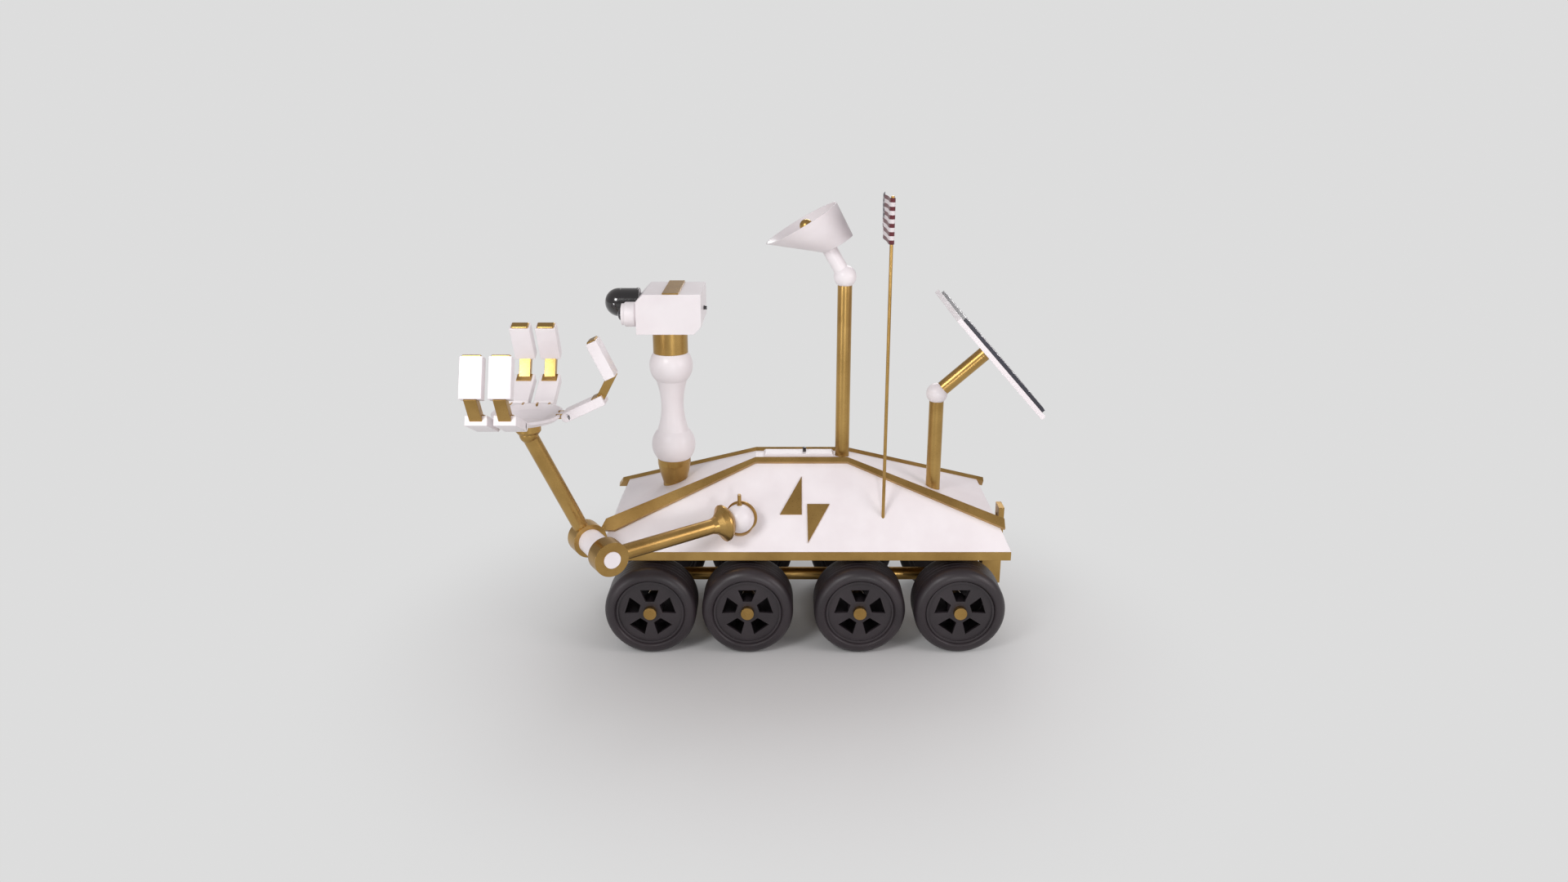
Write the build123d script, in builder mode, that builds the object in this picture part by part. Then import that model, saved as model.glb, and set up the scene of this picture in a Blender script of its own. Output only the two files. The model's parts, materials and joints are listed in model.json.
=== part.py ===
from build123d import *
from math import atan2, cos, degrees, hypot, radians, sin, sqrt, tan
import os

os.makedirs("parts", exist_ok=True)

# Planetary rover, in millimetres. X runs rearward, so the front is at -X.
# Y runs from the near side (-Y, the side with the arm) to the far side.
# Z is up from the ground. X = 0 is midway between the first and last axles.

# Clearances
FIT = 0.3            # between curved faces that run on each other
WALL = 10            # hull panels

# Wheels
TYRE_R = 250
TYRE_WIDTH = 250
TYRE_SHOULDER = 52   # rounding of the tyre's shoulders
TRACK = 790          # between the tyres' centres
RIM_R = 185
RIM_WALL = 12
RIM_WIDTH = 226
WEB_RECESS = 22
WEB_THICK = 18
HUB_R = 62
AXLE_R = 35
AXLE_END = 4         # how far an axle's end stands out of the tyre's face
WINDOW_COUNT = 5
WINDOW_INNER_R = 66
WINDOW_OUTER_R = 140
WINDOW_ANGLE = 42
# name, x
AXLES = (("1", -845), ("2", -315), ("3", 298), ("4", 845))

# Running frame
KEEL_R = 37.5
KEEL_FRONT = -900
KEEL_BLOCK = 110     # block that holds a cross axle
STRUT_WIDTH = 100
STRUT_INSET = 77     # of the strut's front face from the base plate's rear end
STRUT_LOW = 212
STRUT_TOP = 683
STRUT_PLATE = 31

# Base plate and hull
BASE_OVERHANG = 272  # of the base plate beyond the first and last axles
BASE_WIDTH = 864
BASE_Z = 527
BASE_THICK = 50
EAVES_INSET = 72     # of the end panels' top corners, from the base plate's ends
EAVES_RISE = 152
RIDGE_FRONT = -275
RIDGE_REAR = 240
RIDGE_RISE = 411
RIDGE_WIDTH = 140
CROWN_FRONT = -230
CROWN_REAR = 166
CROWN_MARGIN = 18    # of the ridge on each side of the crown
CROWN_RISE = 20
NUB_R = 9
NUB_RISE = 26
TRIM_FRONT_REACH = 1    # past the base plate's front end
TRIM_REAR_INSET = 27
TRIM_DEPTH = 66
TRIM_REAR_DEPTH = 58
TRIM_TIP_RUN = 30       # of the slanted cut at the front
TRIM_TIP_LENGTH = 79    # of the level edge under the front end
TRIM_RIDGE_DEPTH = 30
TRIM_THICK = 26
BOLT_THICK = 7

# Flag pole and flag
POLE_X = 429
POLE_Y = -296
POLE_R = 9
POLE_TOP = 2454
FLAG_HOIST = 230
FLAG_FLY = 430
FLAG_TOP_DROP = 10
FLAG_THICK = 6

# Neck and head
NECK_X = -740
CUP_LOW_R = 92.5
CUP_LOW_FOOT_R = 66
CUP_LOW_TOP = 975
CUP_LOW_WALL = 75    # from the top down to the start of the taper to the foot
CUP_LOW_RIM = 35     # height of the straight rim
CUP_LOW_TAPER = 8
NECK_LOW_Z = 1055
NECK_LOW_R = 122.5
NECK_WAIST_Z = 1283
NECK_WAIST_R = 62.5
NECK_TOP_Z = 1512
NECK_TOP_R = 120
CUP_TOP_R = 95.5
HEAD_BOTTOM = 1727
HEAD_HEIGHT = 213
HEAD_FRONT = -897
HEAD_REAR = -553
HEAD_WIDTH = 408
HEAD_CHAMFER = 40
STRAP_WIDTH = 85
STRAP_THICK = 8
STRAP_X = -712
LENS_R = 77
LENS_Z = 1863
LENS_TIP = -1087
BARREL_R = 66
BARREL_Y = -128
BARREL_Z = 1822
BARREL_REACH = 70
PEG_R = 10
PEG_REACH = 18

# Dish
DISH_MAST_X = 214
MAST_R = 39.5
DISH_BALL_Z = 2003
DISH_BALL_R = 61
DISH_TILT = 30.4     # of the dish's axis from the vertical, towards the front
DISH_RIM_R = 216
DISH_BACK_R = 92
DISH_DEPTH = 193
DISH_SKEW = 113.6    # how far the back disc lies behind the rim's centre
DISH_WALL = 7
DISH_NECK_R = 40
DISH_NECK_LENGTH = 152
DISH_BACK_DROP = 21  # from the neck's end to the back disc, along the axis
DISH_BACK_SHIFT = 52
FEED_R = 36
FEED_ROD_R = 10

# Solar panel
SOLAR_MAST_X = 723
SOLAR_MAST_Y = -100
SOLAR_BALL_Z = 1378
SOLAR_BALL_R = 58
SOLAR_ARM_RISE = 41.9  # degrees above the horizontal
SOLAR_ARM_LENGTH = 340
PANEL_SLOPE = 690
PANEL_WIDTH = 820
FRAME_THICK = 26
FRAME_EDGE = 22
CELLS_THICK = 18

# Arm: places of the shoulder, the elbow's near disc and the wrist
SHOULDER_X = -355
SHOULDER_SLANT = 160   # up the side panel from the base plate
COLLAR_R = 70
COLLAR_THICK = 24
RING_R = 88            # of the upright ring behind the ball
RING_THICK = 8
RING_BACK = 30         # from the ball's centre
RING_TURN = 17.5       # degrees towards the front
BALL_R = 79
BALL_STAND = 94        # of the ball's centre off the side panel
PEG_HEIGHT = 60
ELBOW_X = -1002
ELBOW_Y = -802
ELBOW_Z = 716
ELBOW_DISC_R = 91
ELBOW_DISC_THICK = 92
ELBOW_SPAN = 278       # between the two discs' centres
SPOOL_R = 66
HUB_FACE_R = 44
HUB_FACE_THICK = 8
ELBOW_PIN_R = 30
ARM_R = 41
FOREARM_R = 40
FOREARM_LENGTH = 677
FOREARM_RISE = 66.4    # degrees above the horizontal

# Hand
PALM_R = 174
PALM_DEPTH = 60
PALM_WALL = 12
PALM_FOOT_R = 70
WRIST_BALL_R = 47
WRIST_CUP_R = 62
WRIST_STAND = 52       # of the palm's foot over the wrist ball's centre
WRIST_CUP_DEPTH = 45
LUG_WIDTH = 52
LUG_THICK = 22
KNUCKLE_REACH = 200    # of a knuckle's pin from the palm's middle
FINGER_WIDTH = 104
FINGER_THICK = 48
PROXIMAL_LENGTH = 205
PROXIMAL_RISE = 25
LINK_HEIGHT = 112
LINK_WIDTH = 58
LINK_LEAN = 28         # degrees away from the palm
LINK_SEAT = 20         # of the link inside the outer bar
DISTAL_HEIGHT = 196
DISTAL_THICK = 56
DISTAL_LEAN = 25       # degrees towards the palm
# name, direction of the finger in degrees from +X, sideways place of its root
FINGERS = (
    ("thumb", 0, 0),
    ("far_rear", 90, -44),
    ("far_front", 90, 88),
    ("near_front", 270, -140),
    ("near_rear", 270, -8),
)

base_top = BASE_Z + BASE_THICK
eaves_z = base_top + EAVES_RISE
ridge_z = base_top + RIDGE_RISE
half_base = (AXLES[-1][1] - AXLES[0][1]) / 2 + BASE_OVERHANG
half_eaves = half_base - EAVES_INSET
strut_front = half_base - STRUT_INSET
half_width = BASE_WIDTH / 2
side_lean = (half_width - RIDGE_WIDTH / 2) / RIDGE_RISE
side_length = sqrt(1 + side_lean**2)
side_normal = Vector(0, -1, side_lean).normalized()
near_side = Plane(origin=(0, -half_width, base_top), x_dir=(1, 0, 0), z_dir=side_normal)
pieces = []


def keep(builder, label):
    """Label a finished piece and put it on the list to be written."""
    builder.part.label = label
    pieces.append(builder.part)


def turned(origin, direction, outline):
    """A turned solid: outline holds (radius, height) points about an axis through origin."""
    along = Vector(direction).normalized()
    across = Vector(0, 1, 0) if abs(along.X) > 0.9 else Vector(1, 0, 0)
    across = (across - along * across.dot(along)).normalized()
    plane = Plane(origin=origin, x_dir=across, z_dir=across.cross(along))
    with BuildPart() as body:
        with BuildSketch(plane):
            with BuildLine():
                Polyline(*outline, close=True)
            make_face()
        revolve(axis=Axis(plane.origin, along))
    return body.part


def rod(start, end, radius):
    """A round bar between two points."""
    length = (Vector(end) - Vector(start)).length
    return turned(start, Vector(end) - Vector(start), ((0, 0), (radius, 0), (radius, length), (0, length)))


def ball(centre, radius):
    """A sphere about a point."""
    with BuildPart() as body:
        with Locations(centre):
            Sphere(radius)
    return body.part


def roof_z(x):
    """Height of the hull's top faces at x."""
    if x < RIDGE_FRONT:
        return ridge_z - (RIDGE_FRONT - x) * (ridge_z - eaves_z) / (RIDGE_FRONT + half_eaves)
    if x > RIDGE_REAR:
        return ridge_z - (x - RIDGE_REAR) * (ridge_z - eaves_z) / (half_eaves - RIDGE_REAR)
    return ridge_z


def hull_block(side, top, end):
    """The hull's solid form with its side, top and end faces moved inward."""
    front_slope = Vector(ridge_z - eaves_z, 0, -(RIDGE_FRONT + half_eaves))
    rear_slope = Vector(-(ridge_z - eaves_z), 0, -(half_eaves - RIDGE_REAR))
    end_run = half_base - half_eaves
    # point on the face, outward normal, inward move
    faces = (
        ((0, 0, ridge_z), Vector(0, 0, 1), top),
        ((RIDGE_FRONT, 0, ridge_z), front_slope * -1, top),
        ((RIDGE_REAR, 0, ridge_z), rear_slope * -1, top),
        ((-half_base, 0, base_top), Vector(-EAVES_RISE, 0, end_run), end),
        ((half_base, 0, base_top), Vector(EAVES_RISE, 0, end_run), end),
        ((0, -half_width, base_top), Vector(0, -1, side_lean), side),
        ((0, half_width, base_top), Vector(0, 1, side_lean), side),
    )
    with BuildPart() as block:
        with Locations((0, 0, base_top)):
            Box(2 * half_base, BASE_WIDTH, RIDGE_RISE, align=(Align.CENTER, Align.CENTER, Align.MIN))
        for point, normal, inset in faces:
            outward = normal.normalized()
            split(bisect_by=Plane(origin=Vector(point) - outward * inset, z_dir=outward), keep=Keep.BOTTOM)
    return block.part


# Wheels: a tyre and a rim on each axle end
track_half = TRACK / 2
for side_name, side in (("near", -1), ("far", 1)):
    for axle_name, axle_x in AXLES:
        hub = Vector(axle_x, side * track_half, TYRE_R)
        wheel_axis = Axis(hub, (0, 1, 0))
        profile_plane = Plane(origin=hub, x_dir=(0, 1, 0), z_dir=(1, 0, 0))

        with BuildPart() as tyre:
            with BuildSketch(profile_plane):
                with Locations((0, (TYRE_R + RIM_R + FIT) / 2)):
                    Rectangle(TYRE_WIDTH, TYRE_R - RIM_R - FIT)
                outer_corners = vertices().group_by(Axis.Y)[-1]
                fillet(outer_corners, TYRE_SHOULDER)
            revolve(axis=wheel_axis)
        keep(tyre, f"tyre_{side_name}_{axle_name}")

        web_face = side * (TYRE_WIDTH / 2 - WEB_RECESS)
        web_middle = web_face - side * WEB_THICK / 2
        web_plane = Plane(origin=hub + Vector(0, web_face, 0), x_dir=(1, 0, 0), z_dir=(0, side, 0))
        with BuildPart() as rim:
            with BuildSketch(profile_plane):
                with Locations((0, RIM_R - RIM_WALL / 2)):
                    Rectangle(RIM_WIDTH, RIM_WALL)
                with Locations((web_middle, (RIM_R + AXLE_R + FIT) / 2)):
                    Rectangle(WEB_THICK, RIM_R - AXLE_R - FIT)
                with Locations((web_face - side * RIM_WIDTH / 4, (HUB_R + AXLE_R + FIT) / 2)):
                    Rectangle(RIM_WIDTH / 2, HUB_R - AXLE_R - FIT)
            revolve(axis=wheel_axis)
            half_angle = radians(WINDOW_ANGLE / 2)
            window = [
                (WINDOW_INNER_R * cos(half_angle), -WINDOW_INNER_R * sin(half_angle)),
                (WINDOW_OUTER_R * cos(half_angle), -WINDOW_OUTER_R * sin(half_angle)),
                (WINDOW_OUTER_R * cos(half_angle), WINDOW_OUTER_R * sin(half_angle)),
                (WINDOW_INNER_R * cos(half_angle), WINDOW_INNER_R * sin(half_angle)),
            ]
            with BuildSketch(web_plane):
                with PolarLocations(0, WINDOW_COUNT, start_angle=90):
                    Polygon(*window, align=None)
            extrude(amount=-WEB_THICK - 1, mode=Mode.SUBTRACT)
        keep(rim, f"rim_{side_name}_{axle_name}")

# Cross axles: one bar through the keel for each pair of wheels
axle_half = track_half + TYRE_WIDTH / 2 + AXLE_END
with BuildPart() as axles:
    for axle_name, axle_x in AXLES:
        with BuildSketch(Plane(origin=(axle_x, -axle_half, TYRE_R), z_dir=(0, 1, 0))):
            Circle(AXLE_R)
        extrude(amount=2 * axle_half)
keep(axles, "axles")

# Keel: the tube along the middle, a block on each axle and a pedestal up to the base plate
with BuildPart() as keel:
    with BuildSketch(Plane(origin=(KEEL_FRONT, 0, TYRE_R), z_dir=(1, 0, 0))):
        Circle(KEEL_R)
    extrude(amount=strut_front - KEEL_FRONT)
    for axle_name, axle_x in AXLES:
        with Locations((axle_x, 0, TYRE_R - KEEL_BLOCK / 2)):
            Box(KEEL_BLOCK, KEEL_BLOCK, BASE_Z - TYRE_R + KEEL_BLOCK / 2,
                align=(Align.CENTER, Align.CENTER, Align.MIN))
    for axle_name, axle_x in AXLES:
        with BuildSketch(Plane(origin=(axle_x, -KEEL_BLOCK, TYRE_R), z_dir=(0, 1, 0))):
            Circle(AXLE_R + FIT)
        extrude(amount=2 * KEEL_BLOCK, mode=Mode.SUBTRACT)
keep(keel, "keel")

# Rear strut: a block under the base plate and a plate behind it, with a towing bore
TOW_R = 16
TOW_Z = 620
strut_back = half_base + FIT + STRUT_PLATE
with BuildPart() as rear_strut:
    with Locations((strut_front, 0, STRUT_LOW)):
        Box(strut_back - strut_front, STRUT_WIDTH, BASE_Z - FIT - STRUT_LOW,
            align=(Align.MIN, Align.CENTER, Align.MIN))
    with Locations((half_base + FIT, 0, BASE_Z - FIT)):
        Box(STRUT_PLATE, STRUT_WIDTH, STRUT_TOP - BASE_Z + FIT,
            align=(Align.MIN, Align.CENTER, Align.MIN))
    with BuildSketch(Plane(origin=(strut_back, 0, TOW_Z), z_dir=(1, 0, 0))):
        Circle(TOW_R)
    extrude(amount=-STRUT_PLATE, mode=Mode.SUBTRACT)
keep(rear_strut, "rear_strut")

with BuildPart() as base_plate:
    with Locations((0, 0, BASE_Z)):
        Box(2 * half_base, BASE_WIDTH, BASE_THICK, align=(Align.CENTER, Align.CENTER, Align.MIN))
keep(base_plate, "base_plate")

# Hull panels, split where the folded sheets meet
outer_block = hull_block(0, 0, 0)
side_cut = hull_block(WALL, 0, 0)
top_cut = hull_block(WALL, WALL, 0)
end_cut = hull_block(WALL, WALL, WALL)
solar_foot = Vector(SOLAR_MAST_X, SOLAR_MAST_Y, base_top + FIT)
dish_foot = Vector(DISH_MAST_X, 0, base_top + FIT)
mast_bores = [
    rod(foot, foot + Vector(0, 0, RIDGE_RISE + CROWN_RISE), MAST_R + FIT) for foot in (solar_foot, dish_foot)
]

with BuildPart() as hull_sides:
    add(outer_block)
    add(side_cut, mode=Mode.SUBTRACT)
keep(hull_sides, "hull_sides")

with BuildPart() as hull_top:
    add(side_cut)
    add(top_cut, mode=Mode.SUBTRACT)
    add(mast_bores, mode=Mode.SUBTRACT)
keep(hull_top, "hull_top")

with BuildPart() as hull_ends:
    add(top_cut)
    add(end_cut, mode=Mode.SUBTRACT)
keep(hull_ends, "hull_ends")

with BuildPart() as hull_crown:
    with Locations((CROWN_FRONT, 0, ridge_z)):
        Box(CROWN_REAR - CROWN_FRONT, RIDGE_WIDTH - 2 * CROWN_MARGIN, CROWN_RISE, align=(Align.MIN, Align.CENTER, Align.MIN))
    chamfer(edges().group_by(Axis.Z)[-1], CROWN_RISE / 2)
    with Locations((0, 0, ridge_z + CROWN_RISE)):
        Cylinder(NUB_R, NUB_RISE, align=(Align.CENTER, Align.CENTER, Align.MIN))
keep(hull_crown, "hull_crown")

# Trim bars along the top edges of the side panels, deeper at the ends than at the ridge
trim_front = -half_base - TRIM_FRONT_REACH
trim_rear = half_base - TRIM_REAR_INSET


def up_panel(z):
    """Distance up the side panel to the height z."""
    return (z - base_top) * side_length


trim_top = [
    (x, up_panel(roof_z(x))) for x in (trim_front + TRIM_TIP_RUN, RIDGE_FRONT, RIDGE_REAR, trim_rear)
]
trim_tip = trim_top[0][1] - TRIM_DEPTH
trim_low = (
    (trim_front, trim_tip),
    (trim_front + TRIM_TIP_LENGTH, trim_tip),
    (RIDGE_FRONT, trim_top[1][1] - TRIM_RIDGE_DEPTH),
    (RIDGE_REAR, trim_top[2][1] - TRIM_RIDGE_DEPTH),
    (trim_rear, trim_top[3][1] - TRIM_REAR_DEPTH),
)
with BuildPart() as trim_strips:
    with BuildSketch(near_side):
        with BuildLine():
            Polyline(*trim_top, *reversed(trim_low), close=True)
        make_face()
    extrude(amount=TRIM_THICK)
    mirror(about=Plane.XZ)
keep(trim_strips, "trim_strips")

# Emblem on the near side panel: two triangles, points as (x, distance up the panel)
BOLT_UPPER = ((-17, 438), (-18, 214), (-138, 214))
BOLT_LOWER = ((12, 275), (136, 275), (15, 51))
with BuildPart() as bolt_emblem:
    with BuildSketch(near_side):
        with BuildLine():
            Polyline(*BOLT_UPPER, close=True)
        make_face()
        with BuildLine():
            Polyline(*BOLT_LOWER, close=True)
        make_face()
    extrude(amount=BOLT_THICK)
keep(bolt_emblem, "bolt_emblem")

# Flag pole on the near side panel, and the flag
pole_foot = Vector(POLE_X, POLE_Y, base_top)
with BuildPart() as flag_pole:
    add(rod(pole_foot, Vector(POLE_X, POLE_Y, POLE_TOP), POLE_R))
    add(outer_block, mode=Mode.SUBTRACT)
keep(flag_pole, "flag_pole")

flag_low = POLE_TOP - FLAG_TOP_DROP - FLAG_HOIST
with BuildPart() as flag:
    with Locations((POLE_X, POLE_Y + POLE_R + FIT, flag_low)):
        Box(FLAG_THICK, FLAG_FLY, FLAG_HOIST, align=(Align.CENTER, Align.MIN, Align.MIN))
keep(flag, "flag")

# Neck: fixed lower cup, bone-shaped column that turns in it
neck_low = Vector(NECK_X, 0, NECK_LOW_Z)
neck_top = Vector(NECK_X, 0, NECK_TOP_Z)
neck_foot = Vector(NECK_X, 0, 0)
cup_foot_z = roof_z(NECK_X) - CUP_LOW_FOOT_R
with BuildPart() as neck_cup_lower:
    add(turned(neck_foot, (0, 0, 1), (
        (0, cup_foot_z),
        (CUP_LOW_FOOT_R, cup_foot_z),
        (CUP_LOW_FOOT_R, roof_z(NECK_X)),
        (CUP_LOW_R - CUP_LOW_TAPER, CUP_LOW_TOP - CUP_LOW_WALL),
        (CUP_LOW_R, CUP_LOW_TOP - CUP_LOW_RIM),
        (CUP_LOW_R, CUP_LOW_TOP),
        (0, CUP_LOW_TOP),
    )))
    add(outer_block, mode=Mode.SUBTRACT)
    add(ball(neck_low, NECK_LOW_R + FIT), mode=Mode.SUBTRACT)
keep(neck_cup_lower, "neck_cup_lower")

low_join = 0.72
low_r = NECK_LOW_R * low_join
low_z = NECK_LOW_Z + sqrt(NECK_LOW_R**2 - low_r**2)
top_r = NECK_TOP_R * low_join
top_z = NECK_TOP_Z - sqrt(NECK_TOP_R**2 - top_r**2)
with BuildPart() as neck_column:
    with BuildSketch(Plane(origin=neck_foot, x_dir=(1, 0, 0), z_dir=(0, -1, 0))):
        with BuildLine():
            Polyline((low_r, low_z), (0, low_z), (0, top_z), (top_r, top_z))
            ThreePointArc((top_r, top_z), (NECK_WAIST_R, NECK_WAIST_Z), (low_r, low_z))
        make_face()
    revolve(axis=Axis(neck_foot, (0, 0, 1)))
    add(ball(neck_low, NECK_LOW_R))
    add(ball(neck_top, NECK_TOP_R))
keep(neck_column, "neck_column")

# Head: upper cup, box, strap, long dark lens, short barrel
with BuildPart() as neck_cup_upper:
    add(turned(neck_foot, (0, 0, 1), (
        (0, NECK_TOP_Z), (CUP_TOP_R, NECK_TOP_Z), (CUP_TOP_R, HEAD_BOTTOM), (0, HEAD_BOTTOM),
    )))
    add(ball(neck_top, NECK_TOP_R + FIT), mode=Mode.SUBTRACT)
keep(neck_cup_upper, "neck_cup_upper")

head_length = HEAD_REAR - HEAD_FRONT
head_middle = (HEAD_REAR + HEAD_FRONT) / 2
head_top = HEAD_BOTTOM + HEAD_HEIGHT
with BuildPart() as head_box:
    with Locations((head_middle, 0, HEAD_BOTTOM)):
        Box(head_length, HEAD_WIDTH, HEAD_HEIGHT, align=(Align.CENTER, Align.CENTER, Align.MIN))
    cross_edges = edges().filter_by(Axis.Y)
    top_front = cross_edges.group_by(Axis.Z)[-1].sort_by(Axis.X)[0]
    low_rear = cross_edges.group_by(Axis.Z)[0].sort_by(Axis.X)[-1]
    chamfer([top_front, low_rear], HEAD_CHAMFER)
    with Locations((HEAD_REAR, 0, head_top - HEAD_HEIGHT / 2)):
        Cylinder(PEG_R, 2 * PEG_REACH, rotation=(0, 90, 0))
keep(head_box, "head_box")

with BuildPart() as head_strap:
    with BuildSketch(Plane.XY.offset(head_top)):
        with BuildLine():
            Polyline(
                (STRAP_X - STRAP_WIDTH / 2, HEAD_WIDTH / 2),
                (STRAP_X + STRAP_WIDTH / 2, HEAD_WIDTH / 2),
                (STRAP_X + STRAP_WIDTH / 2, -HEAD_WIDTH / 2),
                (STRAP_X - STRAP_WIDTH / 2, -HEAD_WIDTH / 2),
                close=True,
            )
        make_face()
    extrude(amount=STRAP_THICK)
keep(head_strap, "head_strap")

lens_reach = HEAD_FRONT - LENS_TIP
with BuildPart() as head_lens:
    with BuildSketch(Plane(origin=(HEAD_FRONT, 0, LENS_Z), x_dir=(0, 1, 0), z_dir=(0, 0, 1))):
        with BuildLine():
            Line((0, 0), (LENS_R, 0))
            Line((LENS_R, 0), (LENS_R, lens_reach - LENS_R))
            CenterArc((0, lens_reach - LENS_R), LENS_R, 0, 90)
            Line((0, lens_reach), (0, 0))
        make_face()
    revolve(axis=Axis((HEAD_FRONT, 0, LENS_Z), (-1, 0, 0)))
    split(bisect_by=Plane(origin=(0, 0, HEAD_BOTTOM), z_dir=(0, 0, 1)), keep=Keep.TOP)
    add(head_box.part, mode=Mode.SUBTRACT)
keep(head_lens, "head_lens")

barrel_centre = Vector(HEAD_FRONT, BARREL_Y, BARREL_Z)
with BuildPart() as head_barrel:
    add(rod(barrel_centre, barrel_centre - Vector(BARREL_REACH, 0, 0), BARREL_R - 12))
    add(turned(barrel_centre, (-1, 0, 0), (
        (BARREL_R - 30, BARREL_REACH), (BARREL_R - 30, 0), (BARREL_R - 12, 0), (BARREL_R, 12),
        (BARREL_R, BARREL_REACH - 8), (BARREL_R - 8, BARREL_REACH), (BARREL_R - 8, BARREL_REACH + 12),
        (BARREL_R - 30, BARREL_REACH + 12),
    )))
    add(ball(barrel_centre - Vector(BARREL_REACH, 0, 0), BARREL_R - 34))
    add(rod(Vector(HEAD_FRONT + 1, 0, LENS_Z), Vector(LENS_TIP, 0, LENS_Z), LENS_R + FIT), mode=Mode.SUBTRACT)
    add(head_box.part, mode=Mode.SUBTRACT)
keep(head_barrel, "head_barrel")

# Dish: mast, ball-ended bowl and feed
dish_ball = Vector(DISH_MAST_X, 0, DISH_BALL_Z)
with BuildPart() as dish_mast:
    add(rod(dish_foot, dish_ball, MAST_R))
    add(ball(dish_ball, DISH_BALL_R + FIT), mode=Mode.SUBTRACT)
keep(dish_mast, "dish_mast")

tilt = radians(DISH_TILT)
dish_axis = Vector(-sin(tilt), 0, cos(tilt))
dish_across = Vector(cos(tilt), 0, sin(tilt))
neck_end = dish_ball + dish_axis * DISH_NECK_LENGTH
back_centre = neck_end + dish_axis * DISH_BACK_DROP + dish_across * DISH_BACK_SHIFT
rim_centre = back_centre + dish_axis * DISH_DEPTH - dish_across * DISH_SKEW


def dish_cone(wall, overrun):
    """The oblique cone of the dish, drawn in by a wall; overrun lifts its mouth past the rim."""
    grow = (DISH_RIM_R - DISH_BACK_R) / DISH_DEPTH
    skew = DISH_SKEW / DISH_DEPTH
    with BuildPart() as cone:
        for height, radius in (
            (wall, DISH_BACK_R + grow * wall - wall),
            (DISH_DEPTH + overrun, DISH_RIM_R + grow * overrun - wall),
        ):
            centre = back_centre + dish_axis * height - dish_across * skew * height
            with BuildSketch(Plane(origin=centre, x_dir=dish_across, z_dir=dish_axis)):
                Circle(radius)
        loft(ruled=True)
    return cone.part


dish_inside = dish_cone(DISH_WALL, 10)
dish_outside = dish_cone(0, 0)
feed_centre = back_centre + (rim_centre - back_centre) * 0.86
with BuildPart() as dish_shell:
    add(dish_outside)
    add(rod(dish_ball, neck_end + dish_axis * (DISH_BACK_DROP + DISH_WALL / 2), DISH_NECK_R))
    add(dish_inside, mode=Mode.SUBTRACT)
    add(ball(dish_ball, DISH_BALL_R))
keep(dish_shell, "dish_shell")

feed_foot = back_centre + dish_axis * DISH_WALL
feed_line = (rim_centre - back_centre).normalized()
with BuildPart() as dish_feed:
    add(rod(back_centre, feed_centre, FEED_ROD_R))
    add(ball(feed_centre, FEED_R))
    split(bisect_by=Plane(origin=feed_foot, z_dir=dish_axis), keep=Keep.TOP)
keep(dish_feed, "dish_feed")

# Solar panel: mast, ball and arm, frame and cells
solar_ball_centre = Vector(SOLAR_MAST_X, SOLAR_MAST_Y, SOLAR_BALL_Z)
with BuildPart() as solar_mast:
    add(rod(solar_foot, solar_ball_centre, MAST_R))
    add(ball(solar_ball_centre, SOLAR_BALL_R + FIT), mode=Mode.SUBTRACT)
keep(solar_mast, "solar_mast")

rise = radians(SOLAR_ARM_RISE)
panel_out = Vector(cos(rise), 0, sin(rise))
panel_foot = solar_ball_centre + panel_out * SOLAR_ARM_LENGTH
panel_plane = Plane(origin=panel_foot, x_dir=(0, 1, 0), z_dir=panel_out)
arm_seat = solar_ball_centre + panel_out * sqrt(SOLAR_BALL_R**2 - MAST_R**2)
with BuildPart() as solar_ball:
    add(ball(solar_ball_centre, SOLAR_BALL_R))
    split(bisect_by=Plane(origin=arm_seat, z_dir=panel_out), keep=Keep.BOTTOM)
keep(solar_ball, "solar_ball")

with BuildPart() as solar_arm:
    add(rod(arm_seat, panel_foot, MAST_R))
keep(solar_arm, "solar_arm")

with BuildPart() as solar_frame:
    with BuildSketch(panel_plane):
        Rectangle(PANEL_WIDTH, PANEL_SLOPE)
    extrude(amount=FRAME_THICK)
keep(solar_frame, "solar_frame")

with BuildPart() as solar_cells:
    with BuildSketch(panel_plane.offset(FRAME_THICK)):
        Rectangle(PANEL_WIDTH - 2 * FRAME_EDGE, PANEL_SLOPE - 2 * FRAME_EDGE)
    extrude(amount=CELLS_THICK)
keep(solar_cells, "solar_cells")

# Arm: collar on the side panel, ball, upper arm, elbow, forearm
collar_plane = Plane(origin=near_side.from_local_coords((SHOULDER_X, SHOULDER_SLANT, 0)), z_dir=side_normal)
shoulder = collar_plane.origin + side_normal * BALL_STAND
ring_out = Vector(-sin(radians(RING_TURN)), -cos(radians(RING_TURN)), 0)
with BuildPart() as shoulder_collar:
    with BuildSketch(collar_plane):
        Circle(COLLAR_R)
    extrude(amount=COLLAR_THICK)
    add(rod(shoulder - ring_out * (RING_BACK + RING_THICK), shoulder - ring_out * RING_BACK, RING_R))
    add(ball(shoulder, BALL_R + FIT), mode=Mode.SUBTRACT)
keep(shoulder_collar, "shoulder_collar")

with BuildPart() as shoulder_ball:
    add(ball(shoulder, BALL_R))
    add(rod(shoulder, shoulder + Vector(0, 0, BALL_R + PEG_HEIGHT), PEG_R))
keep(shoulder_ball, "shoulder_ball")

elbow_near = Vector(ELBOW_X, ELBOW_Y, ELBOW_Z)
arm_line = (elbow_near - shoulder).normalized()
arm_flat = Vector(arm_line.X, arm_line.Y, 0).normalized()
elbow_axis = Vector(arm_flat.Y, -arm_flat.X, 0)
elbow_far = elbow_near + elbow_axis * ELBOW_SPAN
disc_half = ELBOW_DISC_THICK / 2
disc_near = elbow_near - elbow_axis * disc_half
disc_far = elbow_far - elbow_axis * disc_half
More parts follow.
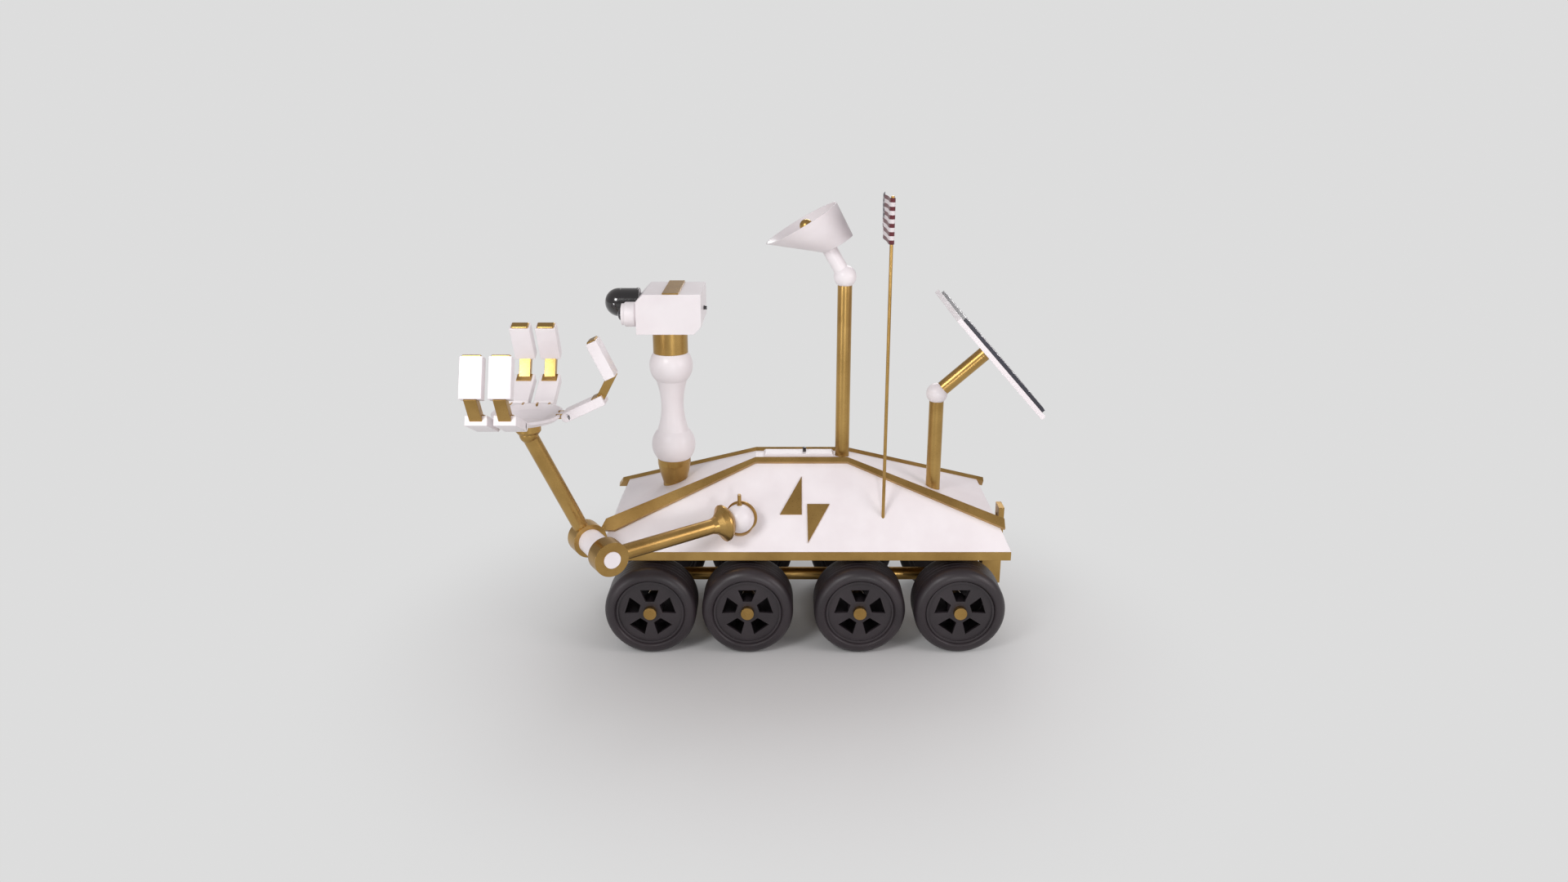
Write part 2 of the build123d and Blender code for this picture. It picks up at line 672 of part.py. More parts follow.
# radius, distance from the ball's centre
CUP = ((0, 40), (66, 60), (90, 80), (100, 94), (100, 104), (72, 122), (ARM_R + 8, 146), (ARM_R, 172), (0, 172))
with BuildPart() as upper_arm:
    add(turned(shoulder, arm_line, CUP))
    add(rod(shoulder, elbow_near, ARM_R))
    add(rod(disc_near, disc_near + elbow_axis * ELBOW_DISC_THICK, ELBOW_DISC_R))
    add(ball(shoulder, BALL_R + FIT), mode=Mode.SUBTRACT)
keep(upper_arm, "upper_arm")

with BuildPart() as elbow_spool:
    add(rod(disc_near + elbow_axis * ELBOW_DISC_THICK, disc_far, SPOOL_R))
    add(rod(disc_far, disc_far + elbow_axis * (ELBOW_DISC_THICK + HUB_FACE_THICK), ELBOW_PIN_R))
    add(rod(disc_near, disc_near - elbow_axis * HUB_FACE_THICK, HUB_FACE_R))
keep(elbow_spool, "elbow_spool")
elbow_bore = rod(disc_far, disc_far + elbow_axis * ELBOW_DISC_THICK, ELBOW_PIN_R + FIT)

forearm_rise = radians(FOREARM_RISE)
forearm_line = arm_flat * cos(forearm_rise) + Vector(0, 0, sin(forearm_rise))
wrist = elbow_far + forearm_line * FOREARM_LENGTH
with BuildPart() as forearm:
    add(rod(disc_far + elbow_axis * FIT, disc_far + elbow_axis * ELBOW_DISC_THICK, ELBOW_DISC_R))
    add(rod(elbow_far, wrist, FOREARM_R))
    add(elbow_bore, mode=Mode.SUBTRACT)
    add(ball(wrist, WRIST_BALL_R))
keep(forearm, "forearm")

# Hand: wrist cup, palm bowl with a lug for each finger, and five fingers
palm_foot_z = wrist.Z + WRIST_STAND
palm_rim_z = palm_foot_z + PALM_DEPTH
palm = Vector(wrist.X, wrist.Y, palm_foot_z)
with BuildPart() as wrist_cup:
    add(turned(Vector(palm.X, palm.Y, 0), (0, 0, 1), (
        (0, palm_foot_z - WRIST_CUP_DEPTH), (WRIST_CUP_R - 8, palm_foot_z - WRIST_CUP_DEPTH),
        (WRIST_CUP_R, palm_foot_z - WRIST_CUP_DEPTH + 12), (WRIST_CUP_R, palm_foot_z), (0, palm_foot_z),
    )))
    add(ball(wrist, WRIST_BALL_R + FIT), mode=Mode.SUBTRACT)
keep(wrist_cup, "wrist_cup")

knuckle_z = palm_rim_z - LUG_THICK / 2
knuckle_r = FINGER_THICK / 2


def finger_plane(angle, sideways, height):
    """A finger's own plane: x out from the palm, y sideways, with its origin on the knuckle's pin."""
    out = Vector(cos(radians(angle)), sin(radians(angle)), 0)
    across = Vector(-out.Y, out.X, 0)
    origin = Vector(palm.X, palm.Y, height) + out * KNUCKLE_REACH + across * sideways
    return Plane(origin=origin, x_dir=out, z_dir=(0, 0, 1))


with BuildPart() as palm_bowl:
    add(turned(Vector(palm.X, palm.Y, 0), (0, 0, 1), (
        (0, palm_foot_z), (PALM_FOOT_R, palm_foot_z), (PALM_R - 26, palm_foot_z + 26),
        (PALM_R, palm_rim_z - 14), (PALM_R, palm_rim_z), (PALM_R - PALM_WALL, palm_rim_z),
        (PALM_R - 26 - PALM_WALL, palm_foot_z + 26 + PALM_WALL),
        (PALM_FOOT_R, palm_foot_z + PALM_WALL), (0, palm_foot_z + PALM_WALL),
    )))
    for name, angle, sideways in FINGERS:
        lug_start = sqrt((PALM_R - PALM_WALL / 2) ** 2 - sideways**2)
        with BuildSketch(finger_plane(angle, sideways, palm_rim_z - LUG_THICK)):
            Rectangle(KNUCKLE_REACH - lug_start, LUG_WIDTH, align=(Align.MAX, Align.CENTER))
        extrude(amount=LUG_THICK)
        pin_plane = finger_plane(angle, sideways, knuckle_z)
        pin_end = pin_plane.origin - pin_plane.y_dir * FINGER_WIDTH
        add(rod(pin_end, pin_end + pin_plane.y_dir * 2 * FINGER_WIDTH, knuckle_r + FIT), mode=Mode.SUBTRACT)
keep(palm_bowl, "palm_bowl")

lean = radians(DISTAL_LEAN)
link_lean = radians(LINK_LEAN)
bar_rise = radians(PROXIMAL_RISE)
for name, angle, sideways in FINGERS:
    root = finger_plane(angle, sideways, knuckle_z)
    side_plane = Plane(origin=root.origin, x_dir=root.x_dir, z_dir=root.x_dir.cross(Vector(0, 0, 1)))
    bar_end = Vector(PROXIMAL_LENGTH * cos(bar_rise), PROXIMAL_LENGTH * sin(bar_rise))
    link_foot = bar_end - Vector(DISTAL_THICK / 2 * cos(bar_rise), DISTAL_THICK / 2 * sin(bar_rise))
    up = Vector(-sin(lean), cos(lean))
    flat = Vector(cos(lean), sin(lean))
    half_link = DISTAL_THICK * 0.36
    half_tip = DISTAL_THICK / 2
    link_up = Vector(sin(link_lean), cos(link_lean))
    link_flat = Vector(cos(link_lean), -sin(link_lean))
    link_top = link_foot + link_up * (LINK_HEIGHT + FINGER_THICK / 2)
    link_end = link_top + link_up * LINK_SEAT
    tip = link_top + up * DISTAL_HEIGHT
    bar_half = Vector(-sin(bar_rise), cos(bar_rise)) * knuckle_r
    with BuildPart() as finger:
        with BuildSketch(side_plane):
            Circle(knuckle_r)
            with BuildLine():
                Polyline(bar_half * -1, bar_end - bar_half, bar_end + bar_half, bar_half, close=True)
            make_face()
        extrude(amount=FINGER_WIDTH / 2, both=True)
        with BuildSketch(side_plane):
            with BuildLine():
                Polyline(
                    link_foot - link_flat * half_link, link_foot + link_flat * half_link,
                    link_end + link_flat * half_link, link_end - link_flat * half_link, close=True,
                )
            make_face()
        extrude(amount=LINK_WIDTH / 2, both=True)
        with BuildSketch(side_plane):
            with BuildLine():
                Polyline(
                    link_top - flat * half_tip, link_top + flat * half_tip,
                    tip + flat * half_tip, tip - flat * half_tip, close=True,
                )
            make_face()
        extrude(amount=FINGER_WIDTH / 2, both=True)
    keep(finger, f"finger_{name}")

# The row's origin is under the middle of the whole rover, on the ground
boxes = [piece.bounding_box() for piece in pieces]
middle_x = (min(box.min.X for box in boxes) + max(box.max.X for box in boxes)) / 2
middle_y = (min(box.min.Y for box in boxes) + max(box.max.Y for box in boxes)) / 2
for piece in pieces:
    moved = Pos(-middle_x, -middle_y, 0) * piece
    moved.label = piece.label
    export_step(moved, f"parts/{piece.label}.step")

print("middle of the rover in the wheels' frame", middle_x, middle_y)
for name, point in (
    ("shoulder", shoulder), ("elbow", elbow_far), ("elbow axis", elbow_axis), ("wrist", wrist),
    ("palm", palm), ("solar ball", solar_ball_centre), ("dish ball", dish_ball), ("neck top", neck_top),
    ("dish back", back_centre), ("dish rim", rim_centre),
):
    print(name, round(point.X, 3), round(point.Y, 3), round(point.Z, 3))
for name, angle, sideways in FINGERS:
    pin = finger_plane(angle, sideways, knuckle_z).origin
    print("knuckle", name, round(pin.X, 3), round(pin.Y, 3), round(pin.Z, 3))
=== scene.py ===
import json
import math

import bmesh
import bpy
from mathutils import Matrix, Vector


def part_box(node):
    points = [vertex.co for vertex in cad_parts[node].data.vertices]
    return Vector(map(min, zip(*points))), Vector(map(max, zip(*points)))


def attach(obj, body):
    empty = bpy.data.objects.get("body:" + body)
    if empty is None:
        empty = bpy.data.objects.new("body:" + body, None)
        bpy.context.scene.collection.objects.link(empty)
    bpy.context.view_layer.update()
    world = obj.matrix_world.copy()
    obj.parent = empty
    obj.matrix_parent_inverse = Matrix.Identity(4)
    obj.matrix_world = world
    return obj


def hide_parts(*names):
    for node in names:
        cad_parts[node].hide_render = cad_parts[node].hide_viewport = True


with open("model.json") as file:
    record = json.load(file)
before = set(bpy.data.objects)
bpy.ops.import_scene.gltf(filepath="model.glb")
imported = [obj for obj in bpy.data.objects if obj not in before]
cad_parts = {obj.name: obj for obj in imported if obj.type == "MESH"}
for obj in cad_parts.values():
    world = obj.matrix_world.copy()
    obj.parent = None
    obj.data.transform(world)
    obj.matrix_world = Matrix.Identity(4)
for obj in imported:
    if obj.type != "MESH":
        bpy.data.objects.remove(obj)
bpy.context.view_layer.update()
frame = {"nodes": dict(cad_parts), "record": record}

# Places are metres in the row's frame. The wheels' frame has its origin on the ground,
# midway between the first and last axles: its places are in millimetres.
MM = 0.001
joints = {joint["name"]: joint for joint in frame["record"]["behaviour"]["joints"]}


def pivot(name):
    """A joint's place in the row's frame."""
    return Vector(joints[name]["pos_m"])


wheels_middle = (pivot("roll_near_1") + pivot("roll_far_4")) / 2


def at(x, y, z):
    """A place given in the wheels' frame, in millimetres."""
    return Vector((wheels_middle.x + x * MM, wheels_middle.y + y * MM, z * MM))


# Materials
def new_material(name):
    """An empty node material with a principled shader on its output."""
    material = bpy.data.materials.new(name)
    material.use_nodes = True
    nodes = material.node_tree.nodes
    nodes.clear()
    output = nodes.new("ShaderNodeOutputMaterial")
    shader = nodes.new("ShaderNodeBsdfPrincipled")
    material.node_tree.links.new(shader.outputs["BSDF"], output.inputs["Surface"])
    return material, shader


def noise(tree, scale, detail=4.0, stretch=(1, 1, 1)):
    """A noise pattern in the object's own space."""
    place = tree.nodes.new("ShaderNodeTexCoord")
    mapping = tree.nodes.new("ShaderNodeMapping")
    mapping.inputs["Scale"].default_value = stretch
    texture = tree.nodes.new("ShaderNodeTexNoise")
    texture.inputs["Scale"].default_value = scale
    texture.inputs["Detail"].default_value = detail
    tree.links.new(place.outputs["Object"], mapping.inputs["Vector"])
    tree.links.new(mapping.outputs["Vector"], texture.inputs["Vector"])
    return texture.outputs["Fac"]


def ramp(tree, value, stops):
    """A colour ramp: stops holds (position, colour)."""
    node = tree.nodes.new("ShaderNodeValToRGB")
    elements = node.color_ramp.elements
    for index, (position, colour) in enumerate(stops):
        element = elements[index] if index < 2 else elements.new(position)
        element.position = position
        element.color = (*colour, 1)
    tree.links.new(value, node.inputs["Fac"])
    return node.outputs["Color"]


def spread(tree, value, low, high):
    """A 0 to 1 value moved to a narrow range."""
    node = tree.nodes.new("ShaderNodeMapRange")
    node.inputs["From Min"].default_value = 0.3
    node.inputs["From Max"].default_value = 0.7
    node.inputs["To Min"].default_value = low
    node.inputs["To Max"].default_value = high
    tree.links.new(value, node.inputs["Value"])
    return node.outputs["Result"]


def surface(tree, shader, height, strength, distance, edge=0.0015):
    """Fine bumps over slightly rounded edges."""
    bevel = tree.nodes.new("ShaderNodeBevel")
    bevel.samples = 4
    bevel.inputs["Radius"].default_value = edge
    bump = tree.nodes.new("ShaderNodeBump")
    bump.inputs["Strength"].default_value = strength
    bump.inputs["Distance"].default_value = distance
    tree.links.new(height, bump.inputs["Height"])
    tree.links.new(bevel.outputs["Normal"], bump.inputs["Normal"])
    tree.links.new(bump.outputs["Normal"], shader.inputs["Normal"])


def coated(name, light, dark, rough, grain, bump, metallic=0.0, coat=0.0, stretch=(1, 1, 1), edge=0.0015):
    """A surface whose colour, roughness and height vary with two noises."""
    material, shader = new_material(name)
    tree = material.node_tree
    broad = noise(tree, 5.0, 3.0)
    fine = noise(tree, grain, 6.0, stretch)
    tree.links.new(ramp(tree, broad, ((0.35, dark), (0.65, light))), shader.inputs["Base Color"])
    tree.links.new(spread(tree, fine, *rough), shader.inputs["Roughness"])
    shader.inputs["Metallic"].default_value = metallic
    shader.inputs["Coat Weight"].default_value = coat
    shader.inputs["Coat Roughness"].default_value = 0.15
    surface(tree, shader, fine, bump, 0.0006, edge)
    return material


WHITE = coated("white_paint", (0.91, 0.865, 0.885), (0.86, 0.805, 0.825), (0.40, 0.52), 260, 0.12,
               coat=0.25, edge=0.003)
GOLD = coated("gold_metal", (0.50, 0.315, 0.105), (0.38, 0.23, 0.072), (0.26, 0.38), 90, 0.10,
              metallic=1.0, stretch=(1, 1, 7))
TYRE = coated("tyre_rubber", (0.030, 0.022, 0.026), (0.019, 0.014, 0.017), (0.36, 0.48), 420, 0.25)
WHEEL = coated("wheel_dark", (0.032, 0.025, 0.029), (0.022, 0.017, 0.020), (0.34, 0.46), 300, 0.12,
               edge=0.003)
BLACK = coated("lens_black", (0.012, 0.010, 0.011), (0.006, 0.005, 0.006), (0.06, 0.14), 40, 0.02, coat=1.0)
CELL = coated("solar_cell", (0.016, 0.016, 0.034), (0.008, 0.008, 0.018), (0.12, 0.22), 60, 0.04, coat=1.0)

by_slot = {
    "white_shell": WHITE, "gold": GOLD, "tyre": TYRE, "wheel": WHEEL, "lens": BLACK, "cells": CELL,
}
for row in frame["record"]["subparts"]:
    cad_node = frame["nodes"][row["node"]]
    if row["material_slot"] in by_slot:
        cad_node.data.materials.clear()
        cad_node.data.materials.append(by_slot[row["material_slot"]])


# Mesh helpers
def piece(name, mesh, material, body, stands_for=(), smooth_angle=40):
    """Turns a bmesh into a piece that rides on a body."""
    bmesh.ops.recalc_face_normals(mesh, faces=mesh.faces)
    data = bpy.data.meshes.new(name)
    mesh.to_mesh(data)
    mesh.free()
    made = bpy.data.objects.new(name, data)
    bpy.context.scene.collection.objects.link(made)
    data.materials.append(material)
    data.shade_smooth()
    data.set_sharp_from_angle(angle=math.radians(smooth_angle))
    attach(made, body)
    if stands_for:
        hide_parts(*stands_for)
    return made


def add_block(mesh, centre, axes, half, bevel=0.0):
    """A box from its centre, three unit axes and half sizes, with rounded edges."""
    matrix = Matrix.Translation(centre) @ Matrix((
        (axes[0].x * half[0], axes[1].x * half[1], axes[2].x * half[2], 0),
        (axes[0].y * half[0], axes[1].y * half[1], axes[2].y * half[2], 0),
        (axes[0].z * half[0], axes[1].z * half[1], axes[2].z * half[2], 0),
        (0, 0, 0, 1),
    ))
    made = bmesh.ops.create_cube(mesh, size=2, matrix=matrix)
    if bevel:
        edges = {edge for vertex in made["verts"] for edge in vertex.link_edges}
        bmesh.ops.bevel(mesh, geom=list(edges), offset=bevel, segments=3, affect="EDGES", profile=0.7)


def add_lathe(mesh, origin, axis, outline, steps=48, closed=False):
    """A turned form: outline holds (radius, height) points in metres."""
    along = Vector(axis).normalized()
    across = along.orthogonal().normalized()
    third = along.cross(across)
    rings = []
    for radius, height in outline:
        if radius < 1e-6:
            rings.append([mesh.verts.new(origin + along * height)])
            continue
        ring = []
        for step in range(steps):
            turn = 2 * math.pi * step / steps
            ring.append(mesh.verts.new(
                origin + along * height + (across * math.cos(turn) + third * math.sin(turn)) * radius))
        rings.append(ring)
    pairs = list(zip(rings, rings[1:]))
    if closed:
        pairs.append((rings[-1], rings[0]))
    for low, high in pairs:
        for step in range(steps):
            after = (step + 1) % steps
            corners = [
                low[step % len(low)], low[after % len(low)], high[after % len(high)], high[step % len(high)],
            ]
            unique = list(dict.fromkeys(corners))
            if len(unique) > 2:
                mesh.faces.new(unique)


def arc(centre, radius, start, end, steps):
    """Points of an arc as (radius, height), angles in degrees from the radial direction."""
    return [
        (centre[0] + radius * math.cos(math.radians(start + (end - start) * step / steps)),
         centre[1] + radius * math.sin(math.radians(start + (end - start) * step / steps)))
        for step in range(steps + 1)
    ]


# Tyres: rounded shoulders, walls that curve in to the rim and shallow grooves round the tread
TYRE_R = 0.250
TYRE_HALF = 0.125
RIM_R = 0.1855
SHOULDER = 0.050
GROOVE_DEPTH = 0.0025
GROOVE_HALF = 0.0022
GROOVES = (-0.048, -0.016, 0.016, 0.048)


def tyre_outline():
    """One closed outline of the tyre as (radius, distance along the axle)."""
    half = []
    half += [(RIM_R, 0.108), (RIM_R + 0.004, TYRE_HALF - 0.006), (RIM_R + 0.009, TYRE_HALF - 0.001)]
    half += [(RIM_R + 0.014, TYRE_HALF), (TYRE_R - SHOULDER - 0.001, TYRE_HALF)]
    half += list(reversed(arc((TYRE_R - SHOULDER, TYRE_HALF - SHOULDER), SHOULDER, 0, 90, 10)))
    tread = []
    for place in reversed(GROOVES):
        tread += [
            (TYRE_R, place + GROOVE_HALF), (TYRE_R - GROOVE_DEPTH, place + GROOVE_HALF * 0.7),
            (TYRE_R - GROOVE_DEPTH, place - GROOVE_HALF * 0.7), (TYRE_R, place - GROOVE_HALF),
        ]
    return half + tread + [(radius, -place) for radius, place in reversed(half)]


SIDES = ("near", "far")
AXLES = ("1", "2", "3", "4")
for side in SIDES:
    for axle in AXLES:
        hub = pivot(f"roll_{side}_{axle}")
        form = bmesh.new()
        add_lathe(form, hub, (0, 1, 0), tyre_outline(), steps=80, closed=True)
        piece(f"tyre_form_{side}_{axle}", form, TYRE, f"wheel_{side}_{axle}",
              (f"tyre_{side}_{axle}",), 30)

# Wheels: a dark liner that closes the back of each rim
LINER_BORE = 0.0364
LINER_R = 0.1722
LINER_SET = 0.1105
LINER_THICK = 0.002
for side in SIDES:
    inward = Vector((0, 1 if side == "near" else -1, 0))
    for axle in AXLES:
        hub = pivot(f"roll_{side}_{axle}")
        liner = bmesh.new()
        add_lathe(liner, hub, inward, [
            (LINER_BORE, LINER_SET - LINER_THICK), (LINER_R, LINER_SET - LINER_THICK), (LINER_R, LINER_SET),
            (LINER_BORE, LINER_SET)], steps=64, closed=True)
        piece(f"rim_liner_{side}_{axle}", liner, WHEEL, f"wheel_{side}_{axle}")

# Fingers: white bars, gold links, gold rounded tips and gold ears at each knuckle
KNUCKLE_R = 0.024
FINGER_HALF = 0.052
BAR_LENGTH = 0.205
BAR_RISE = math.radians(25)
LINK_HALF = 0.029
LINK_HEIGHT = 0.112
LINK_SEAT = 0.018
LINK_LEAN = math.radians(28)
LINK_THICK = 0.0202
DISTAL_HEIGHT = 0.196
DISTAL_THICK = 0.028
DISTAL_LEAN = math.radians(25)
TIP_STAND = 0.012
EAR_HALF = 0.030
UP = Vector((0, 0, 1))
fingers = [name[len("curl_"):] for name in joints if name.startswith("curl_")]
for finger in fingers:
    knuckle = pivot(f"curl_{finger}")
    curl_axis = Vector(joints[f"curl_{finger}"]["axis"])
    out = UP.cross(curl_axis)
    bar = out * math.cos(BAR_RISE) + UP * math.sin(BAR_RISE)
    bar_up = UP * math.cos(BAR_RISE) - out * math.sin(BAR_RISE)
    rise = UP * math.cos(DISTAL_LEAN) - out * math.sin(DISTAL_LEAN)
    flat = out * math.cos(DISTAL_LEAN) + UP * math.sin(DISTAL_LEAN)
    link_foot = knuckle + bar * (BAR_LENGTH - DISTAL_THICK)
    link_rise = UP * math.cos(LINK_LEAN) + out * math.sin(LINK_LEAN)
    link_flat = out * math.cos(LINK_LEAN) - UP * math.sin(LINK_LEAN)
    link_length = LINK_HEIGHT + KNUCKLE_R
    link_top = link_foot + link_rise * link_length

    white = bmesh.new()
    add_block(white, knuckle + bar * (BAR_LENGTH + 0.004) / 2, (bar, curl_axis, bar_up),
              (BAR_LENGTH / 2 - 0.002, FINGER_HALF, KNUCKLE_R), 0.004)
    add_lathe(white, knuckle - curl_axis * FINGER_HALF, curl_axis, [
        (0, 0), (KNUCKLE_R - 0.003, 0), (KNUCKLE_R, 0.003),
        (KNUCKLE_R, 2 * FINGER_HALF - 0.003), (KNUCKLE_R - 0.003, 2 * FINGER_HALF), (0, 2 * FINGER_HALF)])
    add_block(white, link_top + rise * DISTAL_HEIGHT / 2, (rise, curl_axis, flat),
              (DISTAL_HEIGHT / 2, FINGER_HALF, DISTAL_THICK), 0.004)
    piece(f"finger_shell_{finger}", white, WHITE, f"finger_{finger}", (f"finger_{finger}",))

    gold = bmesh.new()
    add_block(gold, link_foot + link_rise * (link_length + LINK_SEAT) / 2, (link_rise, curl_axis, link_flat),
              ((link_length + LINK_SEAT) / 2, LINK_HALF, LINK_THICK), 0.003)
    add_block(gold, link_top + rise * (DISTAL_HEIGHT - 0.004), (rise, curl_axis, flat),
              (TIP_STAND, FINGER_HALF - 0.008, DISTAL_THICK - 0.006), 0.009)
    add_block(gold, link_foot + bar_up * KNUCKLE_R, (bar_up, curl_axis, bar),
              (0.004, LINK_HALF + 0.010, 0.027), 0.002)
    piece(f"finger_metal_{finger}", gold, GOLD, f"finger_{finger}")

# Shoulder: a gold peg standing on the white ball
PEG_R = 0.0102
peg_foot = pivot("shoulder_yaw") + UP * 0.076
peg_sleeve = bmesh.new()
add_lathe(peg_sleeve, peg_foot, UP, [
    (0, 0), (PEG_R + 0.004, 0), (PEG_R + 0.004, 0.008), (PEG_R, 0.010), (PEG_R, 0.0615), (PEG_R - 0.002, 0.0635),
    (0, 0.0635)], steps=32)
piece("shoulder_peg_sleeve", peg_sleeve, GOLD, "shoulder")

# Palm: gold ears on each lug
for finger in fingers:
    knuckle = pivot(f"curl_{finger}")
    curl_axis = Vector(joints[f"curl_{finger}"]["axis"])
    out = UP.cross(curl_axis)
    ears = bmesh.new()
    for shift in (-1, 1):
        add_block(ears, knuckle - out * 0.030 + curl_axis * shift * EAR_HALF, (out, curl_axis, UP),
                  (0.022, 0.005, 0.012), 0.002)
    piece(f"palm_ears_{finger}", ears, GOLD, "hand")

# Head: glass at the end of the barrel, ring and seam on the long lens, dark peg
GLASS = coated("barrel_glass", (0.020, 0.020, 0.026), (0.008, 0.008, 0.012), (0.04, 0.08), 30, 0.01, coat=1.0)
lens_low, lens_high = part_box("head_lens")
lens_middle = (Vector(lens_low) + Vector(lens_high)) / 2
LENS_RISE = 0.351
lens_root = Vector((lens_high[0], lens_middle.y, pivot("head_tilt").z + LENS_RISE))
details = bmesh.new()
LENS_R = 0.077
for back, thick, stand in ((-0.016, 0.010, 0.0022), (-0.104, 0.003, 0.0012)):
    add_lathe(details, lens_root, (1, 0, 0), [
        (LENS_R - 0.002, back), (LENS_R + stand, back + 0.0008),
        (LENS_R + stand, back + thick), (LENS_R - 0.002, back + thick + 0.0008)], steps=72, closed=True)
piece("lens_rings", details, BLACK, "head")
peg = bmesh.new()
box_low, box_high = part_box("head_box")
head_rear = at(-553, 0, 1833.5)
add_lathe(peg, head_rear, (1, 0, 0), [
    (0, 0.0005), (0.0125, 0.0005), (0.0125, 0.005), (0.0106, 0.006), (0.0106, 0.0165),
    (0.0094, 0.0186), (0, 0.0186)], steps=32)
piece("head_peg_cap", peg, BLACK, "head")
glass = bmesh.new()
barrel_front = at(-897 - 70 - 8, -128, 1822)
add_lathe(glass, barrel_front, (-1, 0, 0), [
    (0, 0.026), (0.010, 0.0255), (0.020, 0.023), (0.028, 0.0185), (0.032, 0.013),
    (0.0335, 0.006), (0.0335, -0.004), (0, -0.004)], steps=56)
piece("barrel_glass_front", glass, GLASS, "head")

# Ridge nub: dark cap
nub = bmesh.new()
add_lathe(nub, at(0, 0, 1008), UP, [
    (0.0092, 0), (0.0105, 0.001), (0.0105, 0.0245), (0.008, 0.0265), (0, 0.0265)], steps=32)
piece("ridge_nub_cap", nub, BLACK, "chassis")

# Solar cells: square tiles with cut corners over the dark backing, and thin bus bars
CELL_COLUMNS = 6
CELL_ROWS = 5
CELL_GAP = 0.006
CELL_CUT = 0.012
SOLAR_ARM_LENGTH = 0.340
PANEL_FRAME = 0.026
PANEL_CELLS = 0.018
panel_width = 0.776
panel_slope = 0.646
solar_rise = math.radians(41.9)
panel_out = Vector((math.cos(solar_rise), 0, math.sin(solar_rise)))
panel_down = Vector((math.sin(solar_rise), 0, -math.cos(solar_rise)))
panel_side = Vector((0, 1, 0))
cell_face = pivot("solar_tilt") + panel_out * (SOLAR_ARM_LENGTH + PANEL_FRAME + PANEL_CELLS)
tiles = bmesh.new()
bars = bmesh.new()
step_across = panel_width / CELL_COLUMNS
step_down = panel_slope / CELL_ROWS
for column in range(CELL_COLUMNS):
    for line in range(CELL_ROWS):
        middle = cell_face + panel_side * ((column + 0.5) * step_across - panel_width / 2)
        middle += panel_down * ((line + 0.5) * step_down - panel_slope / 2)
        wide = (step_across - CELL_GAP) / 2
        tall = (step_down - CELL_GAP) / 2
        outline = [
            (wide, tall - CELL_CUT), (wide - CELL_CUT, tall), (CELL_CUT - wide, tall), (-wide, tall - CELL_CUT),
            (-wide, CELL_CUT - tall), (CELL_CUT - wide, -tall), (wide - CELL_CUT, -tall), (wide, CELL_CUT - tall),
        ]
        lows = [tiles.verts.new(middle + panel_side * u + panel_down * v) for u, v in outline]
        highs = [tiles.verts.new(middle + panel_side * u * 0.995 + panel_down * v * 0.995 + panel_out * 0.0014)
                 for u, v in outline]
        tiles.faces.new(highs)
        tiles.faces.new(list(reversed(lows)))
        for corner in range(8):
            after = (corner + 1) % 8
            tiles.faces.new([lows[corner], lows[after], highs[after], highs[corner]])
        for shift in (-0.25, 0.25):
            add_block(bars, middle + panel_side * shift * step_across + panel_out * 0.0017,
                      (panel_side, panel_down, panel_out), (0.0009, tall * 0.97, 0.0004))
piece("cell_tiles", tiles, CELL, "solar_panel", (), 20)
SILVER = coated("bus_bar", (0.55, 0.54, 0.55), (0.42, 0.42, 0.43), (0.3, 0.4), 120, 0.05, metallic=1.0)
piece("cell_bus_bars", bars, SILVER, "solar_panel", (), 20)

# Flag: a sleeve round the pole and a striped cloth with a dark canton at its free end
FLAG_HOIST = 0.230
FLAG_FLY = 0.430
FLAG_LOW = 2.214
SLEEVE_R = 0.0135
CLOTH_HALF = 0.0006
STRIPES = 11
CANTON_FLY = 0.40
CANTON_STRIPES = 6
pole = at(429, -296, 0)
pole.z = 0


